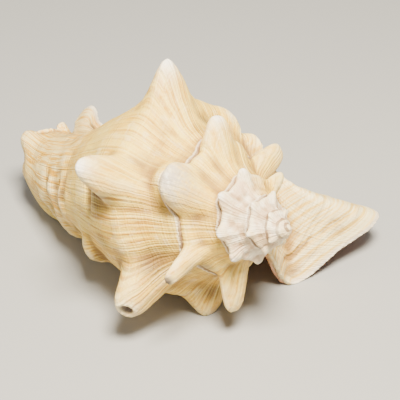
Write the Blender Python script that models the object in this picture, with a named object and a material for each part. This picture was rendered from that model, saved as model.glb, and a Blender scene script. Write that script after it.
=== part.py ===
"""Queen conch shell resting on its opening: spire, horned whorls, broad flaring lip and canal, one solid."""

import bpy
import numpy as np

MM = 0.001

# Coiling: the shoulder at turn angle zero, and how much larger each turn is
WHORL_GROWTH = 1.63
SHOULDER_RADIUS = 36.5
SHOULDER_DROP = 57.0

# Pose: how far the apex end is raised, how far the shell is rolled, and the apex above the rest plane
AXIS_RISE = 17.5
ROLL = 34.0
APEX_HEIGHT = 77.6
CENTRE_X = 109.33
CENTRE_Y = -21.75

# Turn angles, in degrees, of the pieces of the shell
APEX_TURN = -1700.0
BODY_END = 328.0
LIP_START = 308.0
LIP_END = 470.0
WALL = 4.6

# Whorl outline from the inner root over the shoulder to the canal: radius, drop, growth power of the drop
OUTLINE = (
    (0.50, 0.64, 1.00),
    (0.64, 0.66, 1.00),
    (0.72, 0.75, 1.00),
    (0.84, 0.88, 1.00),
    (1.00, 1.00, 1.00),
    (1.02, 1.10, 1.00),
    (0.99, 1.26, 1.00),
    (0.87, 1.50, 0.90),
    (0.74, 1.67, 0.70),
    (0.64, 1.82, 0.50),
    (0.56, 1.95, 0.35),
    (0.50, 2.08, 0.20),
    (0.47, 2.13, 0.16),
    (0.44, 2.17, 0.12),
    (0.40, 2.26, 0.06),
    (0.34, 2.34, 0.00),
)
SHOULDER_ROW = 4
DROP_TURN = 340.0

# Below the shoulder the last half turn widens less than the rest
SLOW_TURN = 240.0
SLOW_POWER = (1, 1, 1, 1, 1, 1, 0.85, 0.4, 0.3, 0.2, 0.2, 0.2, 0.2, 0.2, 0.2, 0.2)

# Inside the opening the pillar is slimmer than the outline:
# share taken off each row, then the turn angles of the change
PILLAR_SLIM = (0, 0, 0, 0, 0, 0, 0.06, 0.14, 0.22, 0.3, 0.38, 0.44, 0.46, 0.48, 0.5, 0.5)
PILLAR_FROM = 205.0
PILLAR_TO = 75.0
CANAL_HOLLOW = 9.0

# At the canal's end the lip wall thickens to this share of the way to the axis
CANAL_FILL = 0.85
CANAL_FILL_ROW = 13.0

# Edge of the lip: radius, turn angle, drop, turn angle where the flare starts, powers of its radius and drop
LIP_EDGE = (
    (27, 470, 46, 375, 2.0, 1.6),
    (37, 470, 47, 375, 2.0, 1.6),
    (74, 474, 55, 375, 3.0, 1.6),
    (88.8, 454.3, 42.8, 375, 7.0, 1.7),
    (114, 441, 37, 360, 13.0, 1.8),
    (120, 439, 60, 360, 11.0, 1.8),
    (118, 439, 93, 360, 8.0, 1.8),
    (107, 439, 127, 360, 6.0, 1.8),
    (86, 433, 160, 360, 5.0, 1.8),
    (62, 416, 186, 350, 3.5, 1.8),
    (58, 390, 210.5, 350, 5.0, 1.6),
    (49.6, 389.9, 219.4, 350, 5.0, 1.6),
    (30, 382.9, 207.7, 350, 3.0, 1.6),
    (35.4, 359, 202.8, 345, 2.5, 1.6),
    (31.5, 344.1, 204.0, 335, 2.5, 1.6),
    (30.4, 325, 207.0, 330, 2.0, 1.6),
)
TURN_POWER = 1.25

# The coil draws in a little before the lip flares: amount for each row, turn angle and half width
WAIST = (0, 0, 0, 2, 7.5, 8, 7, 3, 0, 0, 0, 0, 0, 0, 0, 0)
WAIST_TURN = 434.0
WAIST_HALF = 30.0

# The canal bends up towards the back of the shell: start, length, amount and direction of the bend
BEND_DROP = 160.0
BEND_LENGTH = 50.0
BEND_AMOUNT = 10.0
BEND_SIDE = -15.0

# Horns on the shoulder: turn angle, radius of the tip, half width, sharpness
HORNS = (
    (-1230, 10.2, 1.4, 2.3),
    (-1130, 11.6, 1.5, 2.3),
    (-1050, 12.8, 1.6, 2.3),
    (-975, 14.2, 1.7, 2.3),
    (-900, 15.6, 1.8, 2.3),
    (-835, 16.8, 2.0, 2.3),
    (-775, 18.2, 2.2, 2.3),
    (-715, 19.6, 2.4, 2.3),
    (-660, 20.6, 2.6, 2.3),
    (-610, 21.4, 2.7, 2.3),
    (-560, 22.4, 2.8, 2.3),
    (-513, 24.5, 3.4, 2.6),
    (-472, 26.8, 3.7, 2.6),
    (-429, 29.4, 4.0, 2.6),
    (-385, 29.8, 4.0, 2.6),
    (-323, 37.2, 4.4, 3.0),
    (-260, 40.0, 5.0, 2.2),
    (-196, 48.2, 5.8, 3.2),
    (-137, 55.8, 3.6, 2.4),
    (-75, 50.4, 10.0, 4.0),
    (-19, 54.4, 8.0, 2.8),
    (44, 61.2, 6.9, 4.0),
    (100, 52.0, 9.0, 2.4),
    (156, 60.8, 10.0, 2.3),
    (210, 71.8, 10.6, 3.2),
    (277, 83.6, 9.0, 2.3),
    (339, 83.4, 11.4, 1.8),
    (389, 64.2, 9.0, 2.4),
    (415, 64.4, 7.5, 3.0),
)

# Swellings elsewhere: turn angle, outline row, height, half width around and along the shell, sharpness
SWELLINGS = (
    (150, 13.2, 9.6, 18.0, 30.0, 2.5),
    (219, 7.2, 7.0, 9.0, 5.5, 2.4),
    (214, 9.4, 3.5, 12.0, 5.5, 2.4),
    (205, 11.6, -3.0, 12.0, 6.0, 2.4),
    (262, 9.7, 2.4, 9.0, 4.0, 2.4),
    (265, 6.4, -3.5, 10.0, 4.5, 2.4),
    (302, 15.0, 6.5, 6.5, 9.0, 2.4),
    (270, 15.0, -3.0, 8.0, 6.0, 2.4),
    (404, 4.2, -2.2, 3.5, 8.0, 2.4),
    (-137, 4.0, 3.0, 9.0, 5.0, 2.0),
    (-196, 4.0, 3.5, 10.0, 6.0, 2.0),
    (287, 1.6, 10.0, 9.0, 9.0, 2.4),
    (256, 8.7, 2.4, 13.0, 3.6, 2.0),
    (215, 10.4, -4.5, 9.0, 4.5, 2.4),
    (4, 3.6, 5.5, 8.0, 9.0, 2.2),
    (-47, 3.6, 5.0, 10.0, 9.0, 2.2),
)

# Cut beside the lobe at the lip's lower end, through the lining as well: numbers as for a swelling
LOBE_CUT = (466, 9.6, -8.5, 16.0, 8.5, 3.0)

# Keel along the shoulder of the oldest turns:
# height as a share of the radius, then the turn angles of its start and end
KEEL_SHARE = 0.13
KEEL_START = -330.0
KEEL_END = -170.0

# Mesh: steps of the first surface, voxel size, triangles kept
BODY_STEPS = 560
LIP_STEPS = 72
ROW_STEPS = 6
VOXEL = 1.6
SMOOTHING = 3
KEPT_SHARE = 0.075

OUTLINE_ARRAY = np.array(OUTLINE)
SLOW_ARRAY = np.array(SLOW_POWER, float)
ROWS = len(OUTLINE)
GROWTH_RATE = np.log(WHORL_GROWTH) / (2 * np.pi)


def whorl_scale(turn):
    return np.exp(GROWTH_RATE * turn)


def bend_shift(drop):
    """How far the canal's bend moves a point, along the two directions across the axis."""
    amount = BEND_AMOUNT * np.clip((drop - BEND_DROP) / BEND_LENGTH, 0, None) ** 2
    side = np.radians(BEND_SIDE)
    return amount * np.cos(side), amount * np.sin(side)


def straight_lip_edge():
    """The lip's edge as it would be without the bend, which is added to the whole shell at the end."""
    edge = np.array(LIP_EDGE, float)
    turn = np.radians(edge[:, 1])
    shift_x, shift_y = bend_shift(edge[:, 2])
    x = edge[:, 0] * np.cos(turn) - shift_x
    y = edge[:, 0] * np.sin(turn) - shift_y
    change = (np.arctan2(y, x) - turn + np.pi) % (2 * np.pi) - np.pi
    edge[:, 0] = np.hypot(x, y)
    edge[:, 1] = turn + change
    return edge


def regular_whorl(turn):
    """Radius and drop of every outline row at these turn angles, before the lip flares."""
    scale = whorl_scale(turn)
    slow = whorl_scale(np.radians(SLOW_TURN))
    widened = np.where(scale > slow, slow * (scale / slow) ** SLOW_ARRAY, scale)
    radius = OUTLINE_ARRAY[:, 0] * SHOULDER_RADIUS * widened
    reference = whorl_scale(np.radians(DROP_TURN))
    drop = OUTLINE_ARRAY[:, 1] * SHOULDER_DROP * reference * (scale / reference) ** OUTLINE_ARRAY[:, 2]
    return radius, drop


def whorl_rows(turn):
    """Radius, angle and drop of every outline row, with the lip's flare."""
    turn = turn[:, None]
    edge = straight_lip_edge()
    end = np.radians(LIP_END)
    start = np.radians(edge[:, 3])
    part = np.clip((turn - start) / (end - start), 0, None)
    radius, drop = regular_whorl(turn)
    end_radius, end_drop = regular_whorl(np.array([[end]]))
    angle = turn + part**TURN_POWER * (edge[:, 1] - end)
    radius = radius + part ** edge[:, 4] * (edge[:, 0] - end_radius)
    drop = drop + part ** edge[:, 5] * (edge[:, 2] - end_drop)
    waist = ((turn - np.radians(WAIST_TURN)) / np.radians(WAIST_HALF)) ** 4
    radius = radius - np.array(WAIST) * np.exp(-waist)
    slim = np.clip((np.radians(PILLAR_FROM) - turn) / np.radians(PILLAR_FROM - PILLAR_TO), 0, 1)
    radius = radius * (1 - np.array(PILLAR_SLIM) * slim**2 * (3 - 2 * slim))
    return radius, angle, drop


def spline(values, place):
    """Smooth curve through the rows, read at these places along them."""
    last = values.shape[1] - 1
    low = np.clip(np.floor(place).astype(int), 0, last - 1)
    t = place - low
    b = values[:, low]
    c = values[:, low + 1]
    a = np.where(low == 0, 2 * b - c, values[:, np.clip(low - 1, 0, last)])
    d = np.where(low == last - 1, 2 * c - b, values[:, np.clip(low + 2, 0, last)])
    cubic = 3 * b - a - 3 * c + d
    square = 2 * a - 5 * b + 4 * c - d
    return b + 0.5 * t * (c - a + t * (square + t * cubic))


def distance_down(radius, angle, drop):
    """Distance along each line of the outline, from its first row."""
    points = np.stack([radius * np.cos(angle), radius * np.sin(angle), drop], -1)
    steps = np.linalg.norm(np.diff(points, axis=1), axis=2)
    return np.concatenate([np.zeros((len(radius), 1)), np.cumsum(steps, axis=1)], axis=1)


def swelling(turn, radius, down, place, values):
    """How far one swelling raises the surface."""
    swell_turn, row, height, around, length, sharpness = values
    middle = np.argmin(np.abs(place - row))
    across = (turn[:, None] - np.radians(swell_turn)) * radius[:, middle : middle + 1] / around
    along = (down - down[:, middle : middle + 1]) / length
    return height * np.exp(-np.hypot(across, along) ** sharpness)


def relief(turn, radius, down, place):
    """How far the horns and the swellings raise the surface."""
    raised = np.zeros_like(radius)
    shoulder = np.argmin(np.abs(place - SHOULDER_ROW))
    along = down - down[:, shoulder : shoulder + 1]
    for horn_turn, tip, width, sharpness in HORNS:
        middle = np.radians(horn_turn)
        fading = np.clip((KEEL_END - horn_turn) / (KEEL_END - KEEL_START), 0, 1)
        base = whorl_rows(np.array([middle]))[0][0, SHOULDER_ROW] * (1 + KEEL_SHARE * fading)
        across = (turn[:, None] - middle) * base / width
        spread = np.where(along < 0, 1.35 * width, width)
        raised += (tip - base) * np.exp(-np.hypot(across, along / spread) ** sharpness)
    size = SHOULDER_RADIUS * whorl_scale(turn[:, None])
    fading = np.clip((np.radians(KEEL_END) - turn[:, None]) / np.radians(KEEL_END - KEEL_START), 0, 1)
    keel = np.where(along < 0, along / (0.26 * size), along / (0.14 * size))
    raised += KEEL_SHARE * size * fading * np.exp(-np.abs(keel) ** 1.6)
    for values in SWELLINGS:
        raised += swelling(turn, radius, down, place, values)
    return raised


def outside(turn, place, horned=True):
    """Points of the outer surface: across the axis twice, then the drop below the apex."""
    rows = whorl_rows(turn)
    radius, angle, drop = (spline(values, place) for values in rows)
    down = distance_down(radius, angle, drop)
    radius = radius + swelling(turn, radius, down, place, LOBE_CUT)
    if horned:
        radius = radius + relief(turn, radius, down, place)
    shift_x, shift_y = bend_shift(drop)
    return np.stack([radius * np.cos(angle) + shift_x, radius * np.sin(angle) + shift_y, drop], -1)


def stand(points):
    """Turns the points from the shell's axis to the pose at rest, apex first along +X."""
    rise = np.radians(AXIS_RISE)
    roll = np.radians(ROLL)
    axis = np.array([np.cos(rise), 0, np.sin(rise)])
    up = np.array([-np.sin(rise), 0, np.cos(rise)])
    side = np.array([0, 1, 0])
    first = np.cos(roll) * up + np.sin(roll) * side
    second = -np.sin(roll) * up + np.cos(roll) * side
    moved = -points[..., 2:] * axis + points[..., :1] * first + points[..., 1:2] * second
    return moved + np.array([CENTRE_X, CENTRE_Y, APEX_HEIGHT])


def strip_faces(rows, columns, first=0):
    """Quads of a grid of points, numbered row by row."""
    faces = []
    for i in range(rows - 1):
        for j in range(columns - 1):
            corner = first + i * columns + j
            faces.append((corner, corner + 1, corner + columns + 1, corner + columns))
    return faces


def body_mesh():
    """Every whorl up to the last half turn, filled to the axis."""
    turn = np.radians(np.linspace(APEX_TURN, BODY_END, BODY_STEPS + 1))
    place = np.linspace(0, ROWS - 1, (ROWS - 1) * ROW_STEPS + 1)
    skin = outside(turn, place)
    part = np.linspace(1, 0, 20)[None, :]
    drop = skin[:, :1, 2] + part * (skin[:, -1:, 2] - CANAL_HOLLOW - skin[:, :1, 2])
    shift_x, shift_y = bend_shift(drop)
    axis = np.stack([shift_x, shift_y, drop], -1)
    loops = np.concatenate([skin, axis, skin[:, :1]], axis=1)
    count, columns = loops.shape[:2]
    faces = strip_faces(count, columns)
    faces.append(tuple(range(columns - 2, -1, -1)))
    faces.append(tuple((count - 1) * columns + j for j in range(columns - 1)))
    return stand(loops).reshape(-1, 3), faces


def lip_mesh():
    """The wall of the last half turn and the flaring lip, as thick as a shell is."""
    turn = np.radians(np.linspace(LIP_START, LIP_END, LIP_STEPS + 1))
    place = np.linspace(0, ROWS - 1, (ROWS - 1) * ROW_STEPS + 1)
    skin = outside(turn, place)
    smooth = outside(turn, place, horned=False)
    normal = np.cross(np.gradient(smooth, axis=0), np.gradient(smooth, axis=1))
    normal /= np.linalg.norm(normal, axis=2, keepdims=True)
    outward = smooth * np.array([1.0, 1.0, 0.0])
    if (normal * outward).sum() < 0:
        normal = -normal
    shift_x, shift_y = bend_shift(smooth[..., 2])
    axis = np.stack([shift_x, shift_y, smooth[..., 2]], -1)
    fill = np.clip((place - CANAL_FILL_ROW) / 0.8, 0, 1)[None, :, None]
    lining = smooth + fill * CANAL_FILL * (axis - smooth) - (1 - fill) * WALL * normal
    count, columns = skin.shape[:2]
    total = count * columns
    faces = strip_faces(count, columns)
    faces += [tuple(reversed(face)) for face in strip_faces(count, columns, total)]
    rim = [j for j in range(columns)]
    rim += [i * columns + columns - 1 for i in range(1, count)]
    rim += [(count - 1) * columns + j for j in range(columns - 2, -1, -1)]
    rim += [i * columns for i in range(count - 2, 0, -1)]
    for here, there in zip(rim, rim[1:] + rim[:1]):
        faces.append((there, here, here + total, there + total))
    points = np.concatenate([stand(skin).reshape(-1, 3), stand(lining).reshape(-1, 3)])
    return points, faces


for old in list(bpy.data.objects):
    bpy.data.objects.remove(old)

body_points, body_faces = body_mesh()
lip_points, lip_faces = lip_mesh()
lip_faces = [tuple(index + len(body_points) for index in face) for face in lip_faces]
all_points = np.concatenate([body_points, lip_points]) * MM

mesh = bpy.data.meshes.new("conch_shell")
mesh.from_pydata(all_points.tolist(), [], body_faces + lip_faces)
mesh.update()
shell = bpy.data.objects.new("conch_shell", mesh)
bpy.context.scene.collection.objects.link(shell)

colour = bpy.data.materials.new("shell_lime")
colour.use_nodes = True
shader = colour.node_tree.nodes["Principled BSDF"]
shader.inputs["Base Color"].default_value = (0.78, 0.62, 0.42, 1.0)
shader.inputs["Roughness"].default_value = 0.55
shader.inputs["Metallic"].default_value = 0.0
mesh.materials.append(colour)

fuse = shell.modifiers.new("fuse", "REMESH")
fuse.mode = "VOXEL"
fuse.voxel_size = VOXEL * MM
fuse.adaptivity = 0.0

smooth = shell.modifiers.new("smooth", "SMOOTH")
smooth.factor = 0.5
smooth.iterations = SMOOTHING

thin_out = shell.modifiers.new("thin_out", "DECIMATE")
thin_out.ratio = KEPT_SHARE

bpy.ops.mesh.primitive_cube_add(size=1, location=(0, 0, -0.02))
below = bpy.context.object
below.name = "below_rest_plane"
below.scale = (0.4, 0.4, 0.04)
below.hide_render = True
below.display_type = "WIRE"

flatten = shell.modifiers.new("flatten", "BOOLEAN")
flatten.operation = "DIFFERENCE"
flatten.object = below
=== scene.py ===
# %% [markdown]
# # A queen conch shell
# A conch shell is one piece of lime that a sea snail lays down at the free edge of its lip, a thin
# sheet at a time. Everything on it follows from that: the coil, the horns, the growth lines that run
# along the lip and the threads that run around the coil. This notebook builds the shell the way it
# grew, from a coil whose outline gets larger by the same share on every turn. All lengths in it are
# millimetres until the mesh is written.

import bpy
import numpy as np
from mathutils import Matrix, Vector
from mathutils.bvhtree import BVHTree
from mathutils.kdtree import KDTree


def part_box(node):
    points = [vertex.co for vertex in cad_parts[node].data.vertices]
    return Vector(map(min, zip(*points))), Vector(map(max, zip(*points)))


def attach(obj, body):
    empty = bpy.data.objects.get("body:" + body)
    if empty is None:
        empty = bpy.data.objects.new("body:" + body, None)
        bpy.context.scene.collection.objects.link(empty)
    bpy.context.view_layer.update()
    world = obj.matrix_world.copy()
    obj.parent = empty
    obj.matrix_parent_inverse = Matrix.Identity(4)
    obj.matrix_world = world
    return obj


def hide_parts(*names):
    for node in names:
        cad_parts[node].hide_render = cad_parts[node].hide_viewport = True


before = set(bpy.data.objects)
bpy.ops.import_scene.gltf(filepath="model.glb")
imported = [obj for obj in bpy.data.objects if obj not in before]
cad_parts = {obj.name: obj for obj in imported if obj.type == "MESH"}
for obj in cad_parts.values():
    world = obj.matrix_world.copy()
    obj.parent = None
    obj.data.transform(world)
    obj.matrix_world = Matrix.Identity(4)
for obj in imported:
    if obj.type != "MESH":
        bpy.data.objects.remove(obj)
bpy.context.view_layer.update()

MM = 0.001
low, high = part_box("conch_shell")
print("packed shell, in mm:", [round(1000 * value, 1) for value in (*low, *high)])

# %% [markdown]
# ## The coil
# On a real shell each turn is a copy of the one before it, 1.63 times as large. That makes the
# shoulder a logarithmic spiral, so one growth rate per radian is enough to place every turn. The
# angle along the coil is zero on the back of the shell, grows towards the lip, and is negative on
# the older turns up to the tip of the spire.

# %% How the coil grows
WHORL_GROWTH = 1.63
SHOULDER_RADIUS = 36.5
SHOULDER_DROP = 57.0
GROWTH_RATE = np.log(WHORL_GROWTH) / (2 * np.pi)
APEX_TURN = -1850.0
LIP_END = 470.0


def whorl_scale(turn):
    return np.exp(GROWTH_RATE * turn)


for whorl in range(5):
    print("shoulder radius", round(SHOULDER_RADIUS * whorl_scale(-2 * np.pi * whorl), 1), "mm")

# %% [markdown]
# ## The outline of a whorl
# The outline runs from the seam with the turn above, over a hollow ramp to the shoulder, and down
# the body to the canal. Each row gives its radius and its drop below the apex as shares of the
# shoulder's. The drop of the lowest rows hardly grows with the coil, because every turn ends at the
# same pillar. Deep in the opening the pillar is slimmer than the outline, so the rows draw in there.

# %% Rows of the outline
OUTLINE = np.array(
    (
        (0.50, 0.64, 1.00),
        (0.64, 0.66, 1.00),
        (0.72, 0.75, 1.00),
        (0.84, 0.88, 1.00),
        (1.00, 1.00, 1.00),
        (1.02, 1.10, 1.00),
        (0.99, 1.26, 1.00),
        (0.87, 1.50, 0.90),
        (0.74, 1.67, 0.70),
        (0.64, 1.82, 0.50),
        (0.56, 1.95, 0.35),
        (0.50, 2.08, 0.20),
        (0.47, 2.13, 0.16),
        (0.44, 2.17, 0.12),
        (0.40, 2.26, 0.06),
        (0.34, 2.34, 0.00),
    )
)
ROWS = len(OUTLINE)
SHOULDER_ROW = 4
DROP_TURN = 340.0
SLOW_TURN = 240.0
SLOW_POWER = np.array((1, 1, 1, 1, 1, 1, 0.85, 0.4, 0.3, 0.2, 0.2, 0.2, 0.2, 0.2, 0.2, 0.2))
PILLAR_SLIM = np.array((0, 0, 0, 0, 0, 0, 0.06, 0.14, 0.22, 0.3, 0.38, 0.44, 0.46, 0.48, 0.5, 0.5))
PILLAR_FROM = 205.0
PILLAR_TO = 75.0


def regular_whorl(turn):
    scale = whorl_scale(turn)
    slow = whorl_scale(np.radians(SLOW_TURN))
    widened = np.where(scale > slow, slow * (scale / slow) ** SLOW_POWER, scale)
    radius = OUTLINE[:, 0] * SHOULDER_RADIUS * widened
    reference = whorl_scale(np.radians(DROP_TURN))
    drop = OUTLINE[:, 1] * SHOULDER_DROP * reference * (scale / reference) ** OUTLINE[:, 2]
    return radius, drop


last_whorl = regular_whorl(np.array([[np.radians(DROP_TURN)]]))[0]
print("last whorl's shoulder:", np.round(last_whorl[0, SHOULDER_ROW], 1), "mm")

# %% [markdown]
# ## The lip
# An adult conch stops coiling and spends its last growth on a wide wing. The rows leave the spiral
# late and sharply, each with its own power, and end on the edge that is given here point by point:
# up against the spire, out to the wing's tip, along the free edge, and round the notch to the canal.
# Each point has its radius, turn angle and drop, the turn where its row leaves the coil, and the powers
# of its radius and drop. The wing is drawn in a little behind its edge, the waist, and the canal's
# end bends aside.

# %% Edge of the lip, the waist behind it and the bend of the canal
LIP_EDGE = np.array(
    (
        (27, 470, 46, 375, 2.0, 1.6),
        (37, 470, 47, 375, 2.0, 1.6),
        (74, 474, 55, 375, 3.0, 1.6),
        (88.8, 454.3, 42.8, 375, 7.0, 1.7),
        (114, 441, 37, 360, 13.0, 1.8),
        (120, 439, 60, 360, 11.0, 1.8),
        (118, 439, 93, 360, 8.0, 1.8),
        (107, 439, 127, 360, 6.0, 1.8),
        (86, 433, 160, 360, 5.0, 1.8),
        (62, 416, 186, 350, 3.5, 1.8),
        (58, 390, 210.5, 350, 5.0, 1.6),
        (49.6, 389.9, 219.4, 350, 5.0, 1.6),
        (30, 382.9, 207.7, 350, 3.0, 1.6),
        (35.4, 359, 202.8, 345, 2.5, 1.6),
        (31.5, 344.1, 204.0, 335, 2.5, 1.6),
        (30.4, 325, 207.0, 330, 2.0, 1.6),
    ),
    float,
)
TURN_POWER = 1.25
WAIST = np.array((0, 0, 0, 2, 7.5, 8, 7, 3, 0, 0, 0, 0, 0, 0, 0, 0))
WAIST_TURN = 434.0
WAIST_HALF = 30.0
BEND_DROP = 160.0
BEND_LENGTH = 50.0
BEND_AMOUNT = 10.0
BEND_SIDE = np.radians(-15.0)


def bend_shift(drop):
    amount = BEND_AMOUNT * np.clip((drop - BEND_DROP) / BEND_LENGTH, 0, None) ** 2
    return amount * np.cos(BEND_SIDE), amount * np.sin(BEND_SIDE)


def straight_lip_edge():
    edge = LIP_EDGE.copy()
    turn = np.radians(edge[:, 1])
    shift_x, shift_y = bend_shift(edge[:, 2])
    x = edge[:, 0] * np.cos(turn) - shift_x
    y = edge[:, 0] * np.sin(turn) - shift_y
    change = (np.arctan2(y, x) - turn + np.pi) % (2 * np.pi) - np.pi
    edge[:, 0] = np.hypot(x, y)
    edge[:, 1] = turn + change
    return edge


def whorl_rows(turn):
    turn = turn[:, None]
    edge = straight_lip_edge()
    end = np.radians(LIP_END)
    start = np.radians(edge[:, 3])
    part = np.clip((turn - start) / (end - start), 0, None)
    radius, drop = regular_whorl(turn)
    end_radius, end_drop = regular_whorl(np.array([[end]]))
    angle = turn + part**TURN_POWER * (edge[:, 1] - end)
    radius = radius + part ** edge[:, 4] * (edge[:, 0] - end_radius)
    drop = drop + part ** edge[:, 5] * (edge[:, 2] - end_drop)
    radius = radius - WAIST * np.exp(-(((turn - np.radians(WAIST_TURN)) / np.radians(WAIST_HALF)) ** 4))
    slim = np.clip((np.radians(PILLAR_FROM) - turn) / np.radians(PILLAR_FROM - PILLAR_TO), 0, 1)
    radius = radius * (1 - PILLAR_SLIM * slim**2 * (3 - 2 * slim))
    return radius, angle, drop


print("wing reaches", LIP_EDGE[:, 0].max(), "mm from the coil's axis")

# %% [markdown]
# ## Horns and swellings
# The snail raises a horn by pushing a fold of its mantle out at the shoulder. A round bump that falls
# off as a power of the distance gives a cone with a soft foot, and a higher power gives the blunt,
# flat-topped pegs of the last-but-one turn. The horns get wider and longer with the coil. Each has
# its turn angle, the radius of its tip, its half width and its sharpness.

# %% Horns on the shoulder
HORNS = (
    (-1230, 10.2, 1.4, 2.3),
    (-1130, 11.6, 1.5, 2.3),
    (-1050, 12.8, 1.6, 2.3),
    (-975, 14.2, 1.7, 2.3),
    (-900, 15.6, 1.8, 2.3),
    (-835, 16.8, 2.0, 2.3),
    (-775, 18.2, 2.2, 2.3),
    (-715, 19.6, 2.4, 2.3),
    (-660, 20.6, 2.6, 2.3),
    (-610, 21.4, 2.7, 2.3),
    (-560, 22.4, 2.8, 2.3),
    (-513, 24.5, 3.4, 2.6),
    (-472, 26.8, 3.7, 2.6),
    (-429, 29.4, 4.0, 2.6),
    (-385, 29.8, 4.0, 2.6),
    (-323, 37.2, 4.4, 3.0),
    (-260, 40.0, 5.0, 2.2),
    (-196, 48.2, 5.8, 3.2),
    (-137, 55.8, 3.6, 2.4),
    (-75, 50.4, 10.0, 4.0),
    (-19, 54.4, 8.0, 2.8),
    (44, 61.2, 6.9, 4.0),
    (100, 52.0, 9.0, 2.4),
    (156, 60.8, 10.0, 2.3),
    (210, 71.8, 10.6, 3.2),
    (277, 83.6, 9.0, 2.3),
    (339, 83.4, 11.4, 1.8),
    (389, 64.2, 9.0, 2.4),
    (415, 64.4, 7.5, 3.0),
)

# %% [markdown]
# ## Swellings, keel and broken tips
# Between the horns the whorl swells and dips where the snail changed its pace. Each swelling has its
# turn angle, outline row, height, half width along the coil and down it, and sharpness, and a negative
# height makes a hollow. The oldest turns have a low keel at the shoulder instead of a plain edge, and
# two horns have lost their tips, which shows as a small pit.

# %% Swellings, keel and broken tips
SWELLINGS = (
    (150, 13.2, 9.6, 18.0, 30.0, 2.5),
    (219, 7.2, 7.0, 9.0, 5.5, 2.4),
    (214, 9.4, 3.5, 12.0, 5.5, 2.4),
    (205, 11.6, -3.0, 12.0, 6.0, 2.4),
    (262, 9.7, 2.4, 9.0, 4.0, 2.4),
    (265, 6.4, -3.5, 10.0, 4.5, 2.4),
    (302, 15.0, 6.5, 6.5, 9.0, 2.4),
    (270, 15.0, -3.0, 8.0, 6.0, 2.4),
    (404, 4.2, -2.2, 3.5, 8.0, 2.4),
    (-137, 4.0, 3.0, 9.0, 5.0, 2.0),
    (-196, 4.0, 3.5, 10.0, 6.0, 2.0),
    (287, 1.6, 10.0, 9.0, 9.0, 2.4),
    (256, 8.7, 2.4, 13.0, 3.6, 2.0),
    (215, 10.4, -4.5, 9.0, 4.5, 2.4),
    (4, 3.6, 5.5, 8.0, 9.0, 2.2),
    (-47, 3.6, 5.0, 10.0, 9.0, 2.2),
)
LOBE_CUT = (466, 9.6, -8.5, 16.0, 8.5, 3.0)
KEEL_SHARE = 0.13
KEEL_END = -170.0
KEEL_START = -330.0
BROKEN_TIPS = {-137: (4.0, 1.7), 210: (5.5, 2.6)}
print(len(HORNS), "horns,", len(SWELLINGS), "swellings")

# %% [markdown]
# ## How far the surface is raised
# A spline through the sixteen rows gives the outline between them. Every horn and swelling is then
# a bump in the distance along the surface, so it keeps its shape wherever the coil bends.

# %% Relief of horns, keel and swellings
KEEL_ABOVE = 0.26
KEEL_BELOW = 0.14
KEEL_SHARPNESS = 1.6
HORN_FOOT = 1.35


def spline(values, place):
    last = values.shape[1] - 1
    low_row = np.clip(np.floor(place).astype(int), 0, last - 1)
    t = place - low_row
    b = values[:, low_row]
    c = values[:, low_row + 1]
    a = np.where(low_row == 0, 2 * b - c, values[:, np.clip(low_row - 1, 0, last)])
    d = np.where(low_row == last - 1, 2 * c - b, values[:, np.clip(low_row + 2, 0, last)])
    return b + 0.5 * t * (c - a + t * (2 * a - 5 * b + 4 * c - d + t * (3 * b - a - 3 * c + d)))


def distance_down(radius, angle, drop):
    points = np.stack([radius * np.cos(angle), radius * np.sin(angle), drop], -1)
    steps = np.linalg.norm(np.diff(points, axis=1), axis=2)
    return np.concatenate([np.zeros((len(radius), 1)), np.cumsum(steps, axis=1)], axis=1)


def swelling(turn, radius, down, place, values):
    swell_turn, row, height, around, length, sharpness = values
    middle = np.argmin(np.abs(place - row))
    across = (turn[:, None] - np.radians(swell_turn)) * radius[:, middle : middle + 1] / around
    beside = (down - down[:, middle : middle + 1]) / length
    return height * np.exp(-np.hypot(across, beside) ** sharpness)


def horn_distance(horn, turn, along):
    turn_at, width = horn[0], horn[2]
    base = whorl_rows(np.array([np.radians(turn_at)]))[0][0, SHOULDER_ROW]
    fading = np.clip((KEEL_END - turn_at) / (KEEL_END - KEEL_START), 0, 1)
    base = base * (1 + KEEL_SHARE * fading)
    across = (turn - np.radians(turn_at)) * base / width
    spread = np.where(along < 0, HORN_FOOT * width, width)
    return base, np.hypot(across, along / spread)


def relief(turn, radius, down, along, place):
    raised = np.zeros_like(radius)
    for horn in HORNS:
        base, distance = horn_distance(horn, turn[:, None], along)
        raised += (horn[1] - base) * np.exp(-(distance ** horn[3]))
        if horn[0] in BROKEN_TIPS:
            depth, width = BROKEN_TIPS[horn[0]]
            raised -= depth * np.exp(-((distance * horn[2] / width) ** 4))
    size = SHOULDER_RADIUS * whorl_scale(turn[:, None])
    fading = np.clip((np.radians(KEEL_END) - turn[:, None]) / np.radians(KEEL_END - KEEL_START), 0, 1)
    keel = np.where(along < 0, along / (KEEL_ABOVE * size), along / (KEEL_BELOW * size))
    raised += KEEL_SHARE * size * fading * np.exp(-np.abs(keel) ** KEEL_SHARPNESS)
    for values in SWELLINGS:
        raised += swelling(turn, radius, down, place, values)
    return raised


print("the tallest horn reaches", max(horn[1] for horn in HORNS), "mm from the axis")

# %% [markdown]
# ## From the coil to the table
# The shell lies on its opening, so its axis is raised at the spire and rolled towards the lip. The
# outer surface is read as a grid: one line of points for each angle along the coil.

# %% Pose and the grid of the outer surface
AXIS_RISE = np.radians(17.5)
ROLL = np.radians(34.0)
APEX_PLACE = np.array([109.33, -21.75, 77.6])


def stand(points):
    axis = np.array([np.cos(AXIS_RISE), 0, np.sin(AXIS_RISE)])
    up = np.array([-np.sin(AXIS_RISE), 0, np.cos(AXIS_RISE)])
    side = np.array([0, 1, 0])
    first = np.cos(ROLL) * up + np.sin(ROLL) * side
    second = -np.sin(ROLL) * up + np.cos(ROLL) * side
    return APEX_PLACE - points[..., 2:] * axis + points[..., :1] * first + points[..., 1:2] * second


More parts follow.
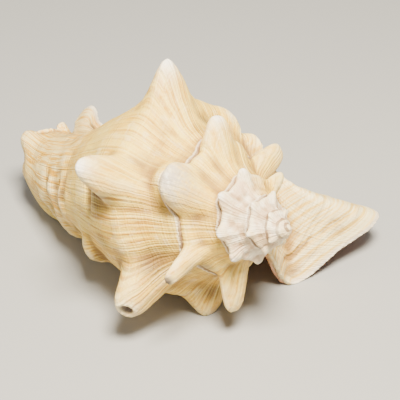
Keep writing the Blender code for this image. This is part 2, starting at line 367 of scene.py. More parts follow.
def outside(turn, place, horned=True):
    radius, angle, drop = (spline(values, place) for values in whorl_rows(turn))
    down = distance_down(radius, angle, drop)
    along = down - down[:, np.argmin(np.abs(place - SHOULDER_ROW))][:, None]
    radius = radius + swelling(turn, radius, down, place, LOBE_CUT)
    if horned:
        radius = radius + relief(turn, radius, down, along, place)
    shift_x, shift_y = bend_shift(drop)
    points = np.stack([radius * np.cos(angle) + shift_x, radius * np.sin(angle) + shift_y, drop], -1)
    return points, along


def even_turns(first, last, step):
    """Turn angles whose spacing at the shoulder stays the same, in mm, however small the whorl."""
    reach = SHOULDER_RADIUS / GROWTH_RATE
    ends = reach * whorl_scale(np.radians(np.array([first, last])))
    count = int((ends[1] - ends[0]) / step) + 1
    return np.log(np.linspace(ends[0], ends[1], count) / reach) / GROWTH_RATE


STEPS_PER_ROW = 10
STEP_ALONG = 0.8
place = np.linspace(0, ROWS - 1, (ROWS - 1) * STEPS_PER_ROW + 1)
skin_turn = even_turns(APEX_TURN, LIP_END, STEP_ALONG)
skin, skin_along = outside(skin_turn, place)
print("outer surface:", skin.shape[0], "by", skin.shape[1], "points")

# %% [markdown]
# ## The wall
# The body is filled, because its inner turns can't be seen. The lip is a wall a few millimetres thick:
# its outside has the horns, and its lining is the smooth surface set inwards, without them. In the
# canal's last rows the lining is drawn in towards the axis, which fills the bottom of the canal.

# %% Body, lip wall and their faces
BODY_END = 328.0
LIP_START = 308.0
WALL = 4.6
CANAL_FILL = 0.85
CANAL_FILL_ROW = 13.0
CANAL_FILL_ROWS = 0.8
CANAL_HOLLOW = 9.0
AXIS_STEPS = 60


def strip_faces(rows, columns, first=0):
    corner = first + np.arange(rows - 1)[:, None] * columns + np.arange(columns - 1)[None, :]
    corner = corner.reshape(-1)
    return np.stack([corner, corner + 1, corner + columns + 1, corner + columns], 1).tolist()


def body_shape():
    loops = skin[skin_turn <= np.radians(BODY_END)]
    part = np.linspace(1, 0, AXIS_STEPS)[None, :]
    drop = loops[:, :1, 2] + part * (loops[:, -1:, 2] - CANAL_HOLLOW - loops[:, :1, 2])
    shift_x, shift_y = bend_shift(drop)
    axis = np.stack([shift_x, shift_y, drop], -1)
    loops = np.concatenate([loops, axis, loops[:, :1]], axis=1)
    count, columns = loops.shape[:2]
    faces = strip_faces(count, columns)
    faces.append(list(range(columns - 2, -1, -1)))
    faces.append([(count - 1) * columns + j for j in range(columns - 1)])
    return stand(loops).reshape(-1, 3), faces


def lip_lining(turn):
    smooth, along = outside(turn, place, horned=False)
    normal = np.cross(np.gradient(smooth, axis=0), np.gradient(smooth, axis=1))
    normal /= np.linalg.norm(normal, axis=2, keepdims=True)
    if (normal * smooth * np.array([1.0, 1.0, 0.0])).sum() < 0:
        normal = -normal
    shift_x, shift_y = bend_shift(smooth[..., 2])
    axis = np.stack([shift_x, shift_y, smooth[..., 2]], -1)
    fill = np.clip((place - CANAL_FILL_ROW) / CANAL_FILL_ROWS, 0, 1)[None, :, None]
    return smooth + fill * CANAL_FILL * (axis - smooth) - (1 - fill) * WALL * normal


def lip_shape():
    turn = skin_turn[skin_turn >= np.radians(LIP_START)]
    outer = skin[skin_turn >= np.radians(LIP_START)]
    lining = lip_lining(turn)
    count, columns = outer.shape[:2]
    total = count * columns
    faces = strip_faces(count, columns)
    faces += [face[::-1] for face in strip_faces(count, columns, total)]
    rim = list(range(columns))
    rim += [i * columns + columns - 1 for i in range(1, count)]
    rim += [(count - 1) * columns + j for j in range(columns - 2, -1, -1)]
    rim += [i * columns for i in range(count - 2, 0, -1)]
    faces += [[there, here, here + total, there + total] for here, there in zip(rim, rim[1:] + rim[:1])]
    return np.concatenate([stand(outer).reshape(-1, 3), stand(lining).reshape(-1, 3)]), faces


body_points, body_faces = body_shape()
lip_points, lip_faces = lip_shape()
print("body", len(body_points), "points, lip", len(lip_points), "points")

# %% [markdown]
# ## One piece
# Inside, each turn overlaps the one before it. The Remesh modifier reads both meshes as one volume and
# wraps a single even skin around it, as a hand modeller would in sculpt mode. The two shapes go into
# one mesh, and the modifier is applied.

# %% Fuse body and lip into one skin
VOXEL = 1.0

mesh = bpy.data.meshes.new("conch_shell_look")
lip_faces = [[index + len(body_points) for index in face] for face in lip_faces]
mesh.from_pydata((np.concatenate([body_points, lip_points]) * MM).tolist(), [], body_faces + lip_faces)
mesh.update()
shell = bpy.data.objects.new("conch_shell_look", mesh)
bpy.context.scene.collection.objects.link(shell)
bpy.ops.object.select_all(action="DESELECT")
bpy.context.view_layer.objects.active = shell
shell.select_set(True)
bpy.ops.object.modifier_add(type="REMESH")
shell.modifiers["Remesh"].mode = "VOXEL"
shell.modifiers["Remesh"].voxel_size = VOXEL * MM
bpy.ops.object.modifier_apply(modifier="Remesh")
print("fused:", len(shell.data.vertices), "points,", len(shell.data.polygons), "faces")

# %% [markdown]
# ## Thin out and draw onto the coil
# The skin has more faces than the eye can use, so Decimate merges the flat ones. Then each point
# looks up the nearest place on the coil's own grid, which gives it an exact position again and its
# two coordinates on the shell: how far along the coil and how far down the whorl.

# %% Decimate, then look up every point on the coil
KEPT_SHARE = 0.63
NEAR_COIL = 0.7

bpy.ops.object.modifier_add(type="DECIMATE")
shell.modifiers["Decimate"].ratio = KEPT_SHARE
bpy.ops.object.modifier_apply(modifier="Decimate")


def grid_triangles(rows, columns, first=0):
    quads = np.array(strip_faces(rows, columns, first))
    return np.concatenate([quads[:, [0, 1, 2]], quads[:, [0, 2, 3]]])


def grid_values(turn, along):
    rows, columns = along.shape
    turns = np.repeat(turn[:, None], columns, axis=1)
    places = np.repeat(place[None, :], rows, axis=0)
    return np.stack([turns, places, along], -1).reshape(-1, 3)


lip_turn = skin_turn[skin_turn >= np.radians(LIP_START)]
lining = lip_lining(lip_turn)
known = np.concatenate([stand(skin).reshape(-1, 3), stand(lining).reshape(-1, 3)])
known_values = np.concatenate(
    [grid_values(skin_turn, skin_along), grid_values(lip_turn, skin_along[-len(lip_turn) :])]
)
known_faces = np.concatenate(
    [grid_triangles(*skin.shape[:2]), grid_triangles(*lining.shape[:2], skin.shape[0] * skin.shape[1])]
)
tree = BVHTree.FromPolygons(known.tolist(), known_faces.tolist())


def read_points(piece):
    points = np.empty(len(piece.data.vertices) * 3, np.float32)
    piece.data.vertices.foreach_get("co", points)
    return points.reshape(-1, 3).astype(float) / MM


def write_points(piece, points):
    piece.data.vertices.foreach_set("co", (points * MM).astype(np.float32).reshape(-1))
    piece.data.update()


points = read_points(shell)
found = [tree.find_nearest(point) for point in points.tolist()]
nearest = np.array([place_found for place_found, normal, index, distance in found])
face_found = np.array([index for place_found, normal, index, distance in found])
distance_found = np.array([distance for place_found, normal, index, distance in found])


def corner_shares(point, triangle):
    a, b, c = known[triangle[:, 0]], known[triangle[:, 1]], known[triangle[:, 2]]
    full = np.cross(b - a, c - a)
    size = np.maximum((full * full).sum(1), 1e-12)
    share_a = (np.cross(b - point, c - point) * full).sum(1) / size
    share_b = (np.cross(c - point, a - point) * full).sum(1) / size
    return np.stack([share_a, share_b, 1 - share_a - share_b], 1)


triangles_found = known_faces[face_found]
shares = corner_shares(nearest, triangles_found)
turn_at, place_at, along_at = (known_values[triangles_found] * shares[:, :, None]).sum(1).T
on_lining = face_found >= len(grid_triangles(*skin.shape[:2]))
close = distance_found < NEAR_COIL
points = np.where(close[:, None], nearest, points)
print(len(points), "points,", len(shell.data.polygons), "faces,", int(close.sum()), "points on the coil")

# %% [markdown]
# ## Noise to draw with
# Growth is never even. One kind of noise runs along a line, for ridges and threads, and one fills
# space, for lumps and worn patches. A ramp fades one thing into another.

# %% Noise along a line, noise in space and a ramp
NOISE_STEPS = 4096
NOISE_CELLS = 64


def wave_noise(value, seed):
    """Smooth noise along one direction, from -1 to 1, with one wave for each unit of the value."""
    steps = np.random.default_rng(seed).uniform(-1, 1, NOISE_STEPS)
    cell = np.floor(value).astype(int)
    part = value - cell
    part = part * part * (3 - 2 * part)
    return steps[cell % NOISE_STEPS] * (1 - part) + steps[(cell + 1) % NOISE_STEPS] * part


def lump_noise(points, size, seed):
    """Smooth noise in space, from -1 to 1, with lumps of about this size in mm."""
    steps = np.random.default_rng(seed).uniform(-1, 1, (NOISE_CELLS, NOISE_CELLS, NOISE_CELLS))
    cell = np.floor(points / size).astype(int)
    part = points / size - cell
    part = part * part * (3 - 2 * part)
    total = np.zeros(len(points))
    for corner in np.ndindex(2, 2, 2):
        share = np.prod(np.where(corner, part, 1 - part), axis=1)
        x, y, z = ((cell + corner) % NOISE_CELLS).T
        total += share * steps[x, y, z]
    return total


def ramp(value, start, end):
    share = np.clip((value - start) / (end - start), 0, 1)
    return share * share * (3 - 2 * share)


REACH = SHOULDER_RADIUS / GROWTH_RATE
turn_degrees = np.degrees(turn_at)
whorl_size = whorl_scale(turn_at)
grown = REACH * whorl_size
print("the coil is", round(grown.max() - grown.min()), "mm long at the shoulder")

# %% [markdown]
# ## Which part of the shell a point is on
# The lining and the part of the body that the opening covers are glazed by the animal, so they are
# smooth. Old horns stick out past the next turn and stay rough. Each horn's tip is worn white, some
# more than others, and two are broken.

# %% Inside, wing, horns and broken tips
TIP_WEAR = {-323: 0.2, -260: 0.3, -196: 0.1, -137: 0.5, 44: 0.4, 156: 0.35, 210: 0.65, 389: 0.5, 415: 0.4}
COVERED_UP_TO = LIP_END - 355.0


def tip_mask(narrow, horns=HORNS, sharpness=2.0, weigh=False):
    mask = np.zeros(len(points))
    for horn in horns:
        base, distance = horn_distance(horn, turn_at, along_at)
        weight = TIP_WEAR.get(horn[0], 1.0) if weigh else 1.0
        mask = np.maximum(mask, weight * np.exp(-((distance / narrow) ** sharpness)))
    return mask


next_root = regular_whorl((turn_at + 2 * np.pi)[:, None])[1][:, 1]
axis_way = [np.cos(AXIS_RISE), 0, np.sin(AXIS_RISE)]
drop_at = np.array([(APEX_PLACE - point) @ axis_way for point in points])
covered = ramp(drop_at - next_root, 1.5, 5.0) * (turn_degrees < COVERED_UP_TO)
covered *= 1 - ramp(tip_mask(0.8), 0.15, 0.50)
inside = np.maximum(covered, on_lining.astype(float))
wing = ramp(turn_degrees, 385.0, 440.0) * (1 - inside)
horn_tip = tip_mask(0.36, weigh=True) * (1 - inside)
horn_body = tip_mask(1.1) * (1 - inside)
hole = np.zeros(len(points))
for horn in HORNS:
    if horn[0] in BROKEN_TIPS:
        hole = np.maximum(hole, tip_mask(1.05 * BROKEN_TIPS[horn[0]][1] / horn[2], [horn], 6.0))
print("glazed share of the points:", round(inside.mean(), 2))

# %% [markdown]
# ## Painted shade in the folds
# Dark brown spots are painted where shade falls deep in the folds between horns and under them,
# stronger in some than in others. Each spot has the turn angle and row of its middle, its reach and its
# strength.

# %% Painted shade spots
SHADE_SPOTS = (
    (222, 3.0, 8.0, 1.0),
    (228, 2.5, 5.0, 0.7),
    (227, 4.4, 7.0, 0.5),
    (216, 1.8, 5.0, 0.8),
    (-143, 3.7, 4.5, 0.7),
    (-157, 4.1, 4.0, 0.8),
    (162, 3.0, 6.0, 1.0),
    (140, 5.0, 6.0, 0.8),
    (266, 5.6, 7.5, 1.0),
    (266, 3.9, 5.5, 0.7),
    (357, 2.9, 4.0, 0.9),
    (343, 2.3, 4.0, 0.6),
    (258, 8.5, 3.5, 0.9),
    (216, 6.9, 6.0, 0.7),
    (239, 5.9, 5.0, 0.5),
    (340, 10.4, 5.0, 0.6),
)


# Spots of painted shade, darkest in the middle and fading outwards.
def shade_spot_mask():
    mask = np.zeros(len(points))
    for spot_turn, row, reach, strength in SHADE_SPOTS:
        line = np.argmin(np.abs(skin_turn - np.radians(spot_turn)))
        column = np.argmin(np.abs(place - row))
        away = np.linalg.norm(points - stand(skin[line, column]), axis=1)
        mask = np.maximum(mask, strength * np.exp(-((away / (1.2 * reach)) ** 3)))
    return mask


shade_spots = shade_spot_mask() * (1 - inside)
print(len(SHADE_SPOTS), "painted shade spots on", int((shade_spots > 0.5).sum()), "points")

# %% [markdown]
# ## Distance to the lip's edge
# The ridges on the wing run along its free edge, because they are old positions of that edge. A
# search tree over the points of the edge gives every point its distance to it.

# %% Distance to the free edge
EDGE_ROWS = (2, 10.5)


def distance_to(targets):
    tree_of_targets = KDTree(len(targets))
    for index, point in enumerate(targets.tolist()):
        tree_of_targets.insert(point, index)
    tree_of_targets.balance()
    return np.array([tree_of_targets.find(point)[2] for point in points.tolist()])


on_wing_edge = (place > EDGE_ROWS[0]) & (place < EDGE_ROWS[1])
edge_points = stand(skin[-1, on_wing_edge])
edge_steps = edge_points[1:] - edge_points[:-1]
edge_line = np.concatenate([edge_points[:-1] + share * edge_steps for share in (0, 0.25, 0.5, 0.75)])
edge_distance = distance_to(edge_line)
print("farthest point is", round(edge_distance.max()), "mm from the free edge")

# %% [markdown]
# ## Growth relief
# The lip stops and starts as it grows, which leaves low ridges along it, and the mantle's edge leaves
# threads around the coil. The wall beside the canal is lumpy, and worn places are rough. What is wide
# enough for the mesh is moved into it. The finest lines come later, from the material's bump.

# %% Ridges, cords, lumps and wear
cords = wave_noise(along_at / (2.6 * whorl_size**0.5), 3) * ramp(along_at, 4.0, 14.0)
ridges = wave_noise(grown / 3.1, 5) + 0.6 * wave_noise(grown / 1.7, 6)
wavy = edge_distance + 1.6 * lump_noise(points, 7.0, 8) + 2.5 * lump_noise(points, 20.0, 9)
wing_ridges = wave_noise(wavy / 2.6, 7)
patchy = 0.35 + 0.65 * ramp(lump_noise(points, 16.0, 10), -0.2, 0.6)
raised = (0.20 - 0.10 * ramp(place_at, 6.0, 8.0)) * cords * patchy * (1 - wing)
raised = raised + 0.14 * ridges + 0.34 * wing * wing_ridges
raised *= (1 - horn_tip) * ramp(whorl_size, 0.05, 0.5)
lumps = lump_noise(points, 9.0, 11) + 0.5 * lump_noise(points, 4.0, 12)
worn = ramp(-turn_degrees, 100.0, 300.0) + horn_tip
canal_wall = ramp(place_at, 7.6, 8.6) * (1 - ramp(place_at, 11.0, 12.3))
canal_wall = canal_wall * ramp(turn_degrees, 195.0, 225.0)
canal_wall *= 1 - ramp(turn_degrees, 330.0, 360.0)
raised += canal_wall * (1.6 * lump_noise(points, 13.0, 17) + 0.6 * lump_noise(points, 6.0, 15))
raised += 0.28 * lumps * ramp(whorl_size, 0.05, 0.6) + 0.32 * worn * lump_noise(points, 2.2, 13)
raised *= (1 - inside) * (1 - 0.8 * ramp(place_at, 12.0, 13.0))
print("ridges up to", round(raised.max(), 2), "mm")

# %% [markdown]
# ## The joint between two turns
# Each new turn is cemented onto the one before it. Its edge stands up as a thin pale line, with a groove
# beside it that the material paints dark as its shade. The joint runs where two neighbouring points are a
# whole turn apart.

# %% Raise the joint and move the points
edges = np.empty(len(shell.data.edges) * 2, np.int32)
shell.data.edges.foreach_get("vertices", edges)
edges = edges.reshape(-1, 2)
jump = np.abs(turn_at[edges[:, 0]] - turn_at[edges[:, 1]]) > np.pi
joint_distance = distance_to(points[edges[jump]].mean(1))
newer = ramp(2.4 - place_at, 0.0, 0.6)
joint_fade = ramp(turn_degrees, -700.0, -350.0) * (1 - inside)
raised += (0.80 * newer - 0.25) * np.exp(-((joint_distance / 1.3) ** 2)) * joint_fade


def vertex_normals(piece):
    normals = np.empty(len(piece.data.vertices) * 3, np.float32)
    piece.data.vertices.foreach_get("normal", normals)
    return normals.reshape(-1, 3).astype(float)


write_points(shell, points)
points = points + raised[:, None] * vertex_normals(shell)
points[:, 2] = np.maximum(points[:, 2], 0.0)
write_points(shell, points)
print("relief from", round(raised.min(), 2), "to", round(raised.max(), 2), "mm")

# %% [markdown]
# ## Where the shell is worn, shaded or glossy
# Creases, hollows and valleys get painted shade, and the lime is rubbed white on whatever stands out.
# Comparing the mesh with a smoothed copy of itself shows which is which. The results go onto the mesh
# as attributes, so that the material can read them.

# %% Masks as attributes of the mesh
def spread_out(values, rounds):
    """Averages the values over the mesh's edges, so many times."""
    count = np.bincount(edges.reshape(-1), minlength=len(values))[:, None]
    for _ in range(rounds):
        total = np.zeros_like(values)
        for column in range(values.shape[1]):
            total[:, column] = np.bincount(edges[:, 0], values[edges[:, 1], column], len(values))
            total[:, column] += np.bincount(edges[:, 1], values[edges[:, 0], column], len(values))
        values = 0.5 * values + 0.5 * total / count
    return values


GREY_TURN = -75
grey_horns = [horn for horn in HORNS if horn[0] == GREY_TURN]
normals = vertex_normals(shell)
stands_out = ((points - spread_out(points, 24)) * normals).sum(1)
wide = spread_out(points, 110)
stands_out_wide = ((points - wide) * normals).sum(1)
stands_out_valley = ((points - spread_out(wide, 260)) * normals).sum(1)
masks = {
    "tip": horn_tip,
    "horn": horn_body,
    "shade_spots": shade_spots,
    "hole": hole * (1 - inside),
    "inside": spread_out(inside[:, None], 1)[:, 0] * (1 - ramp(place_at, 11.0, 12.5)),
    "spire": ramp(-turn_degrees, 335.0, 400.0),
    "edge": edge_distance,
    "wing": wing,
    "canal": ramp(place_at, 7.2, 9.8) * ramp(turn_degrees, 180.0, 240.0),
    "outer": 1 - inside,
    # crease, hollow and valley mark where the material paints shade
    "crease_shade": np.clip(-stands_out / 0.42, 0, 1),
    "hollow_shade": np.clip(-stands_out_wide / 1.3, 0, 1),
    "valley_shade": np.clip(-(stands_out_valley + 0.4) / 3.2, 0, 1),
    "grey": tip_mask(0.85, grey_horns, 4.0) * (1 - inside),
    "rubbed": np.clip((stands_out - 0.12) / 0.50, 0, 1),
    "newer": newer * joint_fade,
    "joint": joint_distance,
}
for name, values in masks.items():
    attribute = shell.data.attributes.new(name, "FLOAT", "POINT")
    attribute.data.foreach_set("value", values.astype(np.float32))

print(len(masks), "masks")

# %% [markdown]
# ## A map along the coil
# Streaks and threads follow the shell's growth, so the material needs the two distances on the coil
# too. They go into a UV map, a tenth of a metre to the unit. A face whose corners lie on different turns
# would smear the pattern, so all its corners take the first one's place.

# %% Write the coil's map
UV_PER_MM = 0.01
TORN_MM = 8.0
corners = np.empty(len(shell.data.loops), np.int32)
shell.data.loops.foreach_get("vertex_index", corners)
starts = np.empty(len(shell.data.polygons), np.int32)
totals = np.empty(len(shell.data.polygons), np.int32)
shell.data.polygons.foreach_get("loop_start", starts)
shell.data.polygons.foreach_get("loop_total", totals)
coil = np.stack([grown, along_at], 1)[corners]
lowest = np.minimum.reduceat(coil, starts)
highest = np.maximum.reduceat(coil, starts)
torn = ((highest - lowest) > TORN_MM).any(1)
first_corner = np.repeat(coil[starts], totals, axis=0)
coil = np.where(np.repeat(torn, totals)[:, None], first_corner, coil)
layer = shell.data.uv_layers.new(name="coil")
layer.data.foreach_set("uv", (coil * UV_PER_MM).astype(np.float32).reshape(-1))
shell.data.shade_smooth()
print(int(torn.sum()), "faces on a seam between turns")

# %% [markdown]
# ## The lime
# One material covers the whole shell, because it is one layer of lime. Its nodes are formulas, so a
# small class lets them be written as on paper. Distances on the coil's map are turned back into
# millimetres.

# %% A class for writing node formulas
class Formula:
    """One output socket. Operators add Math nodes, and node() adds any other node."""

    def __init__(self, tree, socket=None):
        self.tree = tree
        self.socket = socket

    def node(self, kind, settings, inputs, output=0):
        new = self.tree.nodes.new(kind)
        for name, value in settings.items():
            setattr(new, name, value)
        for name, value in inputs.items():
            if isinstance(value, Formula):
                self.tree.links.new(value.socket, new.inputs[name])
            else:
                new.inputs[name].default_value = value
        return Formula(self.tree, new.outputs[output])

    def math(self, operation, *values):
        inputs = dict(enumerate(values))
        return self.node("ShaderNodeMath", {"operation": operation}, inputs)

    def __add__(self, other):
        return self.math("ADD", self, other)

    def __radd__(self, other):
        return self.math("ADD", other, self)

    def __sub__(self, other):
        return self.math("SUBTRACT", self, other)

    def __rsub__(self, other):
        return self.math("SUBTRACT", other, self)

    def __mul__(self, other):
        return self.math("MULTIPLY", self, other)

    def __rmul__(self, other):
        return self.math("MULTIPLY", other, self)

    def __truediv__(self, other):
        return self.math("DIVIDE", self, other)

    def __rtruediv__(self, other):
        return self.math("DIVIDE", other, self)

    def between(self, start, end):
        inputs = {"Value": self, "From Min": start, "From Max": end}
        return self.node("ShaderNodeMapRange", {"interpolation_type": "SMOOTHSTEP"}, inputs)

    def mix(self, first, second):
        """Colour between the two, by this share."""
        return self.node("ShaderNodeMix", {"data_type": "RGBA"}, {0: self, 6: first, 7: second}, 2)


material = bpy.data.materials.new("shell lime")
material.use_nodes = True
nodes = material.node_tree
shader = nodes.nodes["Principled BSDF"]
write = Formula(nodes)


def mask(name):
    return write.node("ShaderNodeAttribute", {"attribute_name": name}, {}, 2)


def noise(vector, scale, detail=2.0):
    inputs = {"Vector": vector, "Scale": scale, "Detail": detail}
    return write.node("ShaderNodeTexNoise", {}, inputs)


def line_noise(value, detail=1.0):
    inputs = {"W": value, "Scale": 1.0, "Detail": detail}
    return write.node("ShaderNodeTexNoise", {"noise_dimensions": "1D"}, inputs)


def paint(red, green, blue):
    return (red, green, blue, 1.0)


place_on_object = write.node("ShaderNodeTexCoord", {}, {}, 3)
coil_map = write.node("ShaderNodeUVMap", {"uv_map": "coil"}, {})
mm_per_uv = 1 / UV_PER_MM
coil_u = write.node("ShaderNodeSeparateXYZ", {}, {0: coil_map}, 0) * mm_per_uv
coil_v = write.node("ShaderNodeSeparateXYZ", {}, {0: coil_map}, 1) * mm_per_uv
print("material started with", len(nodes.nodes), "nodes")

# %% [markdown]
# ## Lines of growth
# The strongest pattern on a conch is made of growth lines: they cross the coil, from the seam to the
# canal, and waver with the lip that made them. Fainter threads run around the coil. Both are noise on
# the coil's map, bent by a slow wobble.

# %% Patterns on the coil's map
wobble = noise(place_on_object, 60.0) - 0.5
wobble_wide = noise(place_on_object, 22.0) - 0.5
u = coil_u + wobble * 2.4 + wobble_wide * 4.0
v = coil_v + wobble * 2.0 + wobble_wide * 5.0


def stretched(along_u, along_v, detail=2.0):
    """Noise stretched on the coil: its grain is so many mm along it and down it."""
    vector = write.node("ShaderNodeCombineXYZ", {}, {0: u / along_u, 1: v / along_v})
    return noise(vector, 1.0, detail)


growth_lines = line_noise(u / 1.25)
growth_bands = line_noise(u / 5.5, 2.0)
threads = line_noise(v / 1.3)
streaks = stretched(1.7, 26.0, 3.0).between(0.50, 0.60)
streaks_wide = stretched(4.5, 20.0, 2.0).between(0.52, 0.66)
flecks = stretched(5.0, 1.1).between(0.56, 0.66)
clouds = noise(place_on_object, 38.0, 3.0)
print("patterns:", len(nodes.nodes), "nodes so far")

# %% [markdown]
# ## Cream and ochre
# The ground is a warm cream. Ochre streaks lie on it in patches, drawn out along the growth lines, with
# short flecks between them. Paint values are more saturated than the shell looks, because the view
# transform softens bright colours.

# %% Ground, streaks and fine lines
cream = clouds.between(0.35, 0.68).mix(paint(0.94, 0.68, 0.12), paint(0.86, 0.53, 0.04))
ochre = growth_bands.between(0.35, 0.7).mix(paint(0.66, 0.34, 0.012), paint(0.50, 0.225, 0.004))
where_streaked = noise(place_on_object, 17.0, 2.0).between(0.36, 0.60)
streak_share = (streaks * 0.90 + streaks_wide * 0.45) * (where_streaked * 0.8 + 0.2)
streak_share = streak_share + flecks * where_streaked * threads.between(0.45, 0.6) * 0.5
colour = streak_share.mix(cream, ochre)
pale_lines = growth_lines.between(0.5, 0.3) * 0.35
colour = pale_lines.mix(colour, paint(0.95, 0.76, 0.32))
lines_share = growth_lines.between(0.52, 0.64) * threads.between(0.30, 0.52)
lines_share = lines_share * (where_streaked * 0.45 + 0.35 - mask("spire") * 0.35)
colour = lines_share.mix(colour, paint(0.56, 0.28, 0.02))
blotches = stretched(6.0, 9.0, 4.0)
blotch_share = blotches.between(0.56, 0.66) * 0.55
colour = blotch_share.mix(colour, paint(0.80, 0.45, 0.015))
pale_share = blotches.between(0.44, 0.36) * 0.40
colour = pale_share.mix(colour, paint(0.94, 0.74, 0.38))
print("ground:", len(nodes.nodes), "nodes so far")

# %% [markdown]
# ## Horns, wing, canal and spire
# Each region has a look of its own. Horns are marbled. The wing's bands follow its free edge, the
# canal is the most orange, in white and orange streaks, and the oldest turns are chalky.

# %% Colours of the regions
marble = stretched(2.6, 7.0, 3.0).between(0.46, 0.56)
marble_share = mask("horn") * 0.50
colour = marble_share.mix(colour, marble.mix(paint(0.95, 0.75, 0.26), paint(0.74, 0.38, 0.008)))
wing_wave = mask("edge") + wobble * 3.0 + wobble_wide * 9.0
wing_lines = line_noise(wing_wave / 2.2, 2.0).between(0.42, 0.60)
wing_colour = wing_lines.mix(paint(0.96, 0.83, 0.50), paint(0.87, 0.56, 0.12))
wing_share = mask("wing") * 0.85
colour = wing_share.mix(colour, wing_colour)
canal_streaks = (stretched(1.8, 16.0, 3.0) * 0.7 + growth_bands * 0.3).between(0.47, 0.54)
canal_colour = canal_streaks.mix(paint(0.96, 0.76, 0.32), paint(0.74, 0.36, 0.004))
canal_share = mask("canal") * 0.80
colour = canal_share.mix(colour, canal_colour)
spire_share = mask("spire") * (clouds.between(0.3, 0.6) * 0.25 + 0.70)
chalk = noise(place_on_object, 170.0, 3.0).between(0.42, 0.62)
colour = spire_share.mix(colour, chalk.mix(paint(0.72, 0.51, 0.33), paint(0.94, 0.82, 0.62)))
print("regions:", len(nodes.nodes), "nodes so far")

# %% [markdown]
# ## Painted shade and wear
# Hollows and valleys get a tan painted shade, and the shade spots and creases get a brown one. What
# stands out
# is rubbed pale: ridges, horn tips and the wing's rim. One old tip is rough and grey, and the pits of
# the broken ones are painted dark as their shade. The joint between turns has a pale edge and a groove
# beside it that is painted dark as its shade. The lining is peach.

# %% Painted shade, wear and lining
# Painted shade: tan in the wide hollows and valleys.
hollow_shade_share = mask("hollow_shade") * (clouds.between(0.3, 0.6) * 0.5 + 0.35) * (1.0 - mask("spire") * 0.6)
colour = hollow_shade_share.mix(colour, paint(0.50, 0.26, 0.035))
valley_shade_share = mask("valley_shade") * (clouds.between(0.3, 0.6) * 0.35 + 0.45)
colour = valley_shade_share.mix(colour, paint(0.48, 0.27, 0.045))
# Painted shade: near-black brown spots deep in the folds and under the horns.
shade_spot_share = mask("shade_spots") * (growth_lines.between(0.35, 0.6) * 0.45 + 0.45)
colour = shade_spot_share.mix(colour, paint(0.075, 0.034, 0.006))
# Painted shade: brown in the small creases.
crease_shade_share = mask("crease_shade") * 0.75
colour = crease_shade_share.mix(colour, paint(0.24, 0.12, 0.03))
seam_share = mask("joint").between(2.2, 1.4) * mask("newer") * 0.55
colour = seam_share.mix(colour, paint(0.95, 0.84, 0.66))
rubbed_share = mask("rubbed") * (noise(place_on_object, 220.0).between(0.3, 0.6) * 0.45 + 0.15)
colour = rubbed_share.mix(colour, paint(0.95, 0.80, 0.46))
tip_share = mask("tip") * (noise(place_on_object, 150.0).between(0.2, 0.5) * 0.35 + 0.6)
colour = tip_share.mix(colour, paint(0.95, 0.90, 0.82))
rim_share = mask("wing") * mask("edge").between(4.5, 1.0) * 0.7
colour = rim_share.mix(colour, paint(0.88, 0.80, 0.70))
grey_share = mask("grey") * (noise(place_on_object, 400.0, 3.0).between(0.35, 0.6) * 0.6 + 0.3)
colour = grey_share.mix(colour, paint(0.50, 0.42, 0.32))
# Painted shade: the pits of the broken tips are painted near black.
pit_shade_share = mask("hole") * 0.9
colour = pit_shade_share.mix(colour, paint(0.07, 0.04, 0.025))
# Painted shade: the groove beside the joint is painted dark brown in patches.
crack_shade_patches = noise(place_on_object, 130.0).between(0.3, 0.6) * 0.45 + 0.4
joint_shade_share = mask("joint").between(1.05, 0.65) * crack_shade_patches * mask("outer")
colour = joint_shade_share.mix(colour, paint(0.20, 0.10, 0.04))
peach = clouds.between(0.3, 0.7).mix(paint(0.90, 0.42, 0.24), paint(0.92, 0.55, 0.36))
colour = mask("inside").mix(colour, peach)
nodes.links.new(colour.socket, shader.inputs["Base Color"])
print("colour done:", len(nodes.nodes), "nodes so far")

# %% [markdown]
# ## Sheen and the finest relief
# Weathered lime is dull, duller still in creases and on worn tips, and the lining keeps its glaze.
# The finest growth lines, threads and pits are too small for the mesh, so a bump makes them. A little
# light sinks into the lime.

# %% Roughness, bump and depth
dull = noise(place_on_object, 90.0, 3.0).between(0.3, 0.7) * 0.16 + 0.46
roughness = dull + mask("crease_shade") * 0.2 + mask("tip") * 0.15 - mask("inside") * 0.26
nodes.links.new(roughness.socket, shader.inputs["Roughness"])

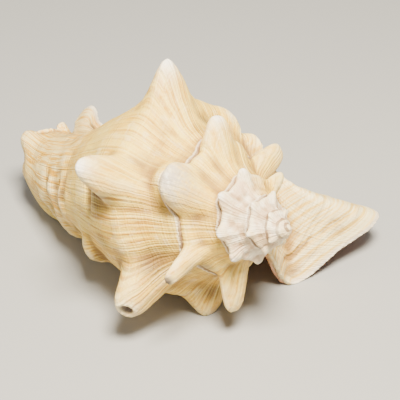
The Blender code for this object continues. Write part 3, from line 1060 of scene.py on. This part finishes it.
outer = mask("outer")
pits = noise(place_on_object, 900.0, 2.0)
height = (growth_lines * 0.7 + growth_bands * 0.8 + threads * 0.5 + pits * 0.3) * outer
bump = write.node("ShaderNodeBump", {}, {"Strength": 1.0, "Distance": 0.0009, "Height": height})
nodes.links.new(bump.socket, shader.inputs["Normal"])
shader.inputs["Subsurface Weight"].default_value = 0.06
shader.inputs["Subsurface Radius"].default_value = (1.0, 0.6, 0.35)
shader.inputs["Subsurface Scale"].default_value = 0.0015
shell.data.materials.append(material)
print("material has", len(nodes.nodes), "nodes")

# %% [markdown]
# ## Handing the piece over
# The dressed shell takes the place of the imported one, which only had a plain colour.

# %% Attach the shell to the part
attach(shell, "root")
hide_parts("conch_shell")
print("dressed shell stands in for the packed one")

# %% [markdown]
# ## Table, light and camera
# The shell lies on a plain pale table. A soft, slightly warm light hangs high above it on the spire's
# side, as in a product photograph, and a weak one fills the shadows from the canal's side. The camera
# looks down from the spire's side through a long lens.

# %% Table, light and camera
bpy.ops.mesh.primitive_plane_add(size=6.0, location=(0, 0, 0))
table = bpy.context.object
table.name = "table"
plain = bpy.data.materials.new("plain table")
plain.use_nodes = True
plain_shader = plain.node_tree.nodes["Principled BSDF"]
plain_shader.inputs["Base Color"].default_value = (0.35, 0.35, 0.345, 1.0)
plain_shader.inputs["Roughness"].default_value = 0.8
table.data.materials.append(plain)


def soft_light(name, place_of, size, power, aim=(0.0, 0.0, 0.04)):
    bpy.ops.object.light_add(type="AREA", location=place_of)
    light = bpy.context.object
    light.name = name
    light.data.size = size
    light.data.energy = power
    light.rotation_euler = (Vector(aim) - Vector(place_of)).to_track_quat("-Z", "Y").to_euler()
    return light


key = soft_light("key light", (0.32, -0.18, 0.90), 0.30, 45.0)
key.data.color = (1.0, 0.91, 0.74)
soft_light("fill light", (-0.7, -0.5, 0.5), 0.8, 2.0)
world = bpy.data.worlds.new("studio")
bpy.context.scene.world = world
world.use_nodes = True
world.node_tree.nodes["Background"].inputs["Color"].default_value = (1.0, 0.98, 0.92, 1.0)
world.node_tree.nodes["Background"].inputs["Strength"].default_value = 0.40

bpy.ops.object.camera_add(location=(0.53179, -0.53086, 0.57749))
camera = bpy.context.object
camera.rotation_euler = (np.radians(54.0), 0.0, np.radians(43.919))
camera.data.lens = 143.36
camera.data.sensor_width = 36.0
bpy.context.scene.camera = camera
print("camera", round(camera.location.length, 2), "m away")
